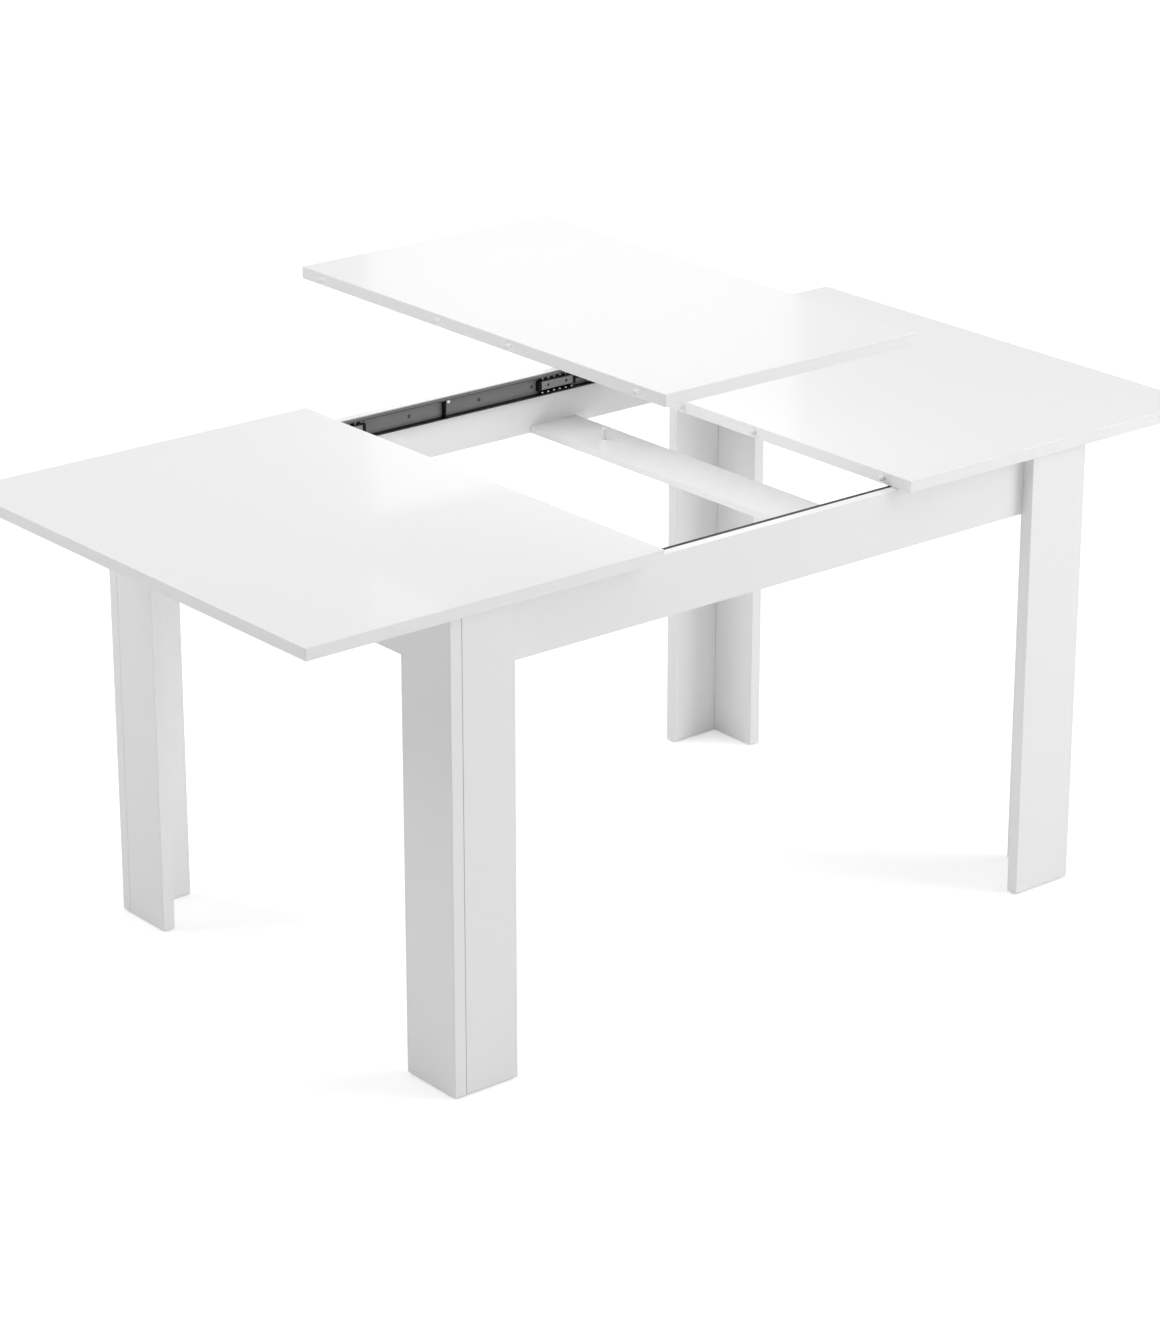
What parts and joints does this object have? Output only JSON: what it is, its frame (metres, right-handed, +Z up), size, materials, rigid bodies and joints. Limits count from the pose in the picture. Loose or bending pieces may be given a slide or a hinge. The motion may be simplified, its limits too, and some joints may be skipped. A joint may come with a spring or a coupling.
{
  "type": "extendable dining table",
  "caption": "Rectangular white dining table on L-section legs; its half tops slide apart on ball-bearing rails to take a loose leaf, which stores under the top.",
  "frame": {"origin": "on the floor under the middle of the table", "axes": "+X along the table, the way its right half top pulls out; -Y is the front long side; +Z is up. It is shown pulled open, with the leaf held above the gap"},
  "size_m": [1.8, 0.9, 1.018],
  "materials": {
    "white_board": "glossy white melamine board",
    "dark_steel": "satin dark grey coated steel",
    "zinc_steel": "bright zinc plated",
    "bearing_steel": "polished bearing steel",
    "black_plastic": "moulded matt black plastic",
    "white_plastic": "moulded white plastic",
    "beech": "bare fluted beech dowel"
  },
  "bodies": {
    "frame": {"back_apron": "white_board", "back_left_corner_brace": "zinc_steel", "back_left_leg_end_board": "white_board", "back_left_leg_side_board": "white_board", "back_left_outer_rail": "dark_steel", "back_right_corner_brace": "zinc_steel", "back_right_leg_end_board": "white_board", "back_right_leg_side_board": "white_board", "back_right_outer_rail": "dark_steel", "corner_brace_screws": "zinc_steel", "crossbar_cam_bolts": "zinc_steel", "crossbar_cams": "zinc_steel", "crossbar_dowels": "beech", "front_apron": "white_board", "front_left_corner_brace": "zinc_steel", "front_left_leg_end_board": "white_board", "front_left_leg_side_board": "white_board", "front_left_outer_rail": "dark_steel", "front_right_corner_brace": "zinc_steel", "front_right_leg_end_board": "white_board", "front_right_leg_side_board": "white_board", "front_right_outer_rail": "dark_steel", "left_crossbar": "white_board", "left_end_apron": "white_board", "leg_bolts": "zinc_steel", "leg_dowels": "beech", "leg_glides": "white_plastic", "outer_rail_screws": "zinc_steel", "rail_bumpers": "white_plastic", "rail_end_stops": "black_plastic", "right_crossbar": "white_board", "right_end_apron": "white_board", "storage_peg": "white_plastic"},
    "left_top": {"back_left_inner_rail": "dark_steel", "front_left_inner_rail": "dark_steel", "left_bracket_bolts": "zinc_steel", "left_bracket_screws": "zinc_steel", "left_top_board": "white_board", "left_top_brackets": "zinc_steel"},
    "right_top": {"back_right_inner_rail": "dark_steel", "front_right_inner_rail": "dark_steel", "right_bracket_bolts": "zinc_steel", "right_bracket_screws": "zinc_steel", "right_top_board": "white_board", "right_top_brackets": "zinc_steel", "right_top_pins": "white_plastic"},
    "left_cages": {"back_left_ball_retainer": "black_plastic", "back_left_carrier_blocks": "dark_steel", "front_left_ball_retainer": "black_plastic", "front_left_carrier_blocks": "dark_steel", "left_bearing_balls": "bearing_steel"},
    "right_cages": {"back_right_ball_retainer": "black_plastic", "back_right_carrier_blocks": "dark_steel", "front_right_ball_retainer": "black_plastic", "front_right_carrier_blocks": "dark_steel", "right_bearing_balls": "bearing_steel"},
    "leaf": {"leaf_board": "white_board", "leaf_pins": "white_plastic"}
  },
  "joints": [
    {"name": "left_top_slide", "type": "slide", "parent": "frame", "child": "left_top", "axis": [1, 0, 0], "range_m": [0, 0.24975]},
    {"name": "right_top_slide", "type": "slide", "parent": "frame", "child": "right_top", "axis": [-1, 0, 0], "range_m": [0, 0.24975]},
    {"name": "left_cage_slide", "type": "slide", "parent": "frame", "child": "left_cages", "axis": [1, 0, 0], "range_m": [0, 0.12487]},
    {"name": "right_cage_slide", "type": "slide", "parent": "frame", "child": "right_cages", "axis": [-1, 0, 0], "range_m": [0, 0.12487]},
    {"name": "leaf_lift", "type": "slide", "parent": "frame", "child": "leaf", "axis": [0, 0, 1], "range_m": [-0.217, 0]}
  ],
  "couplings": [
    {"joint": "left_cage_slide", "follows": "left_top_slide", "ratio": 0.5},
    {"joint": "right_cage_slide", "follows": "right_top_slide", "ratio": 0.5}
  ]
}
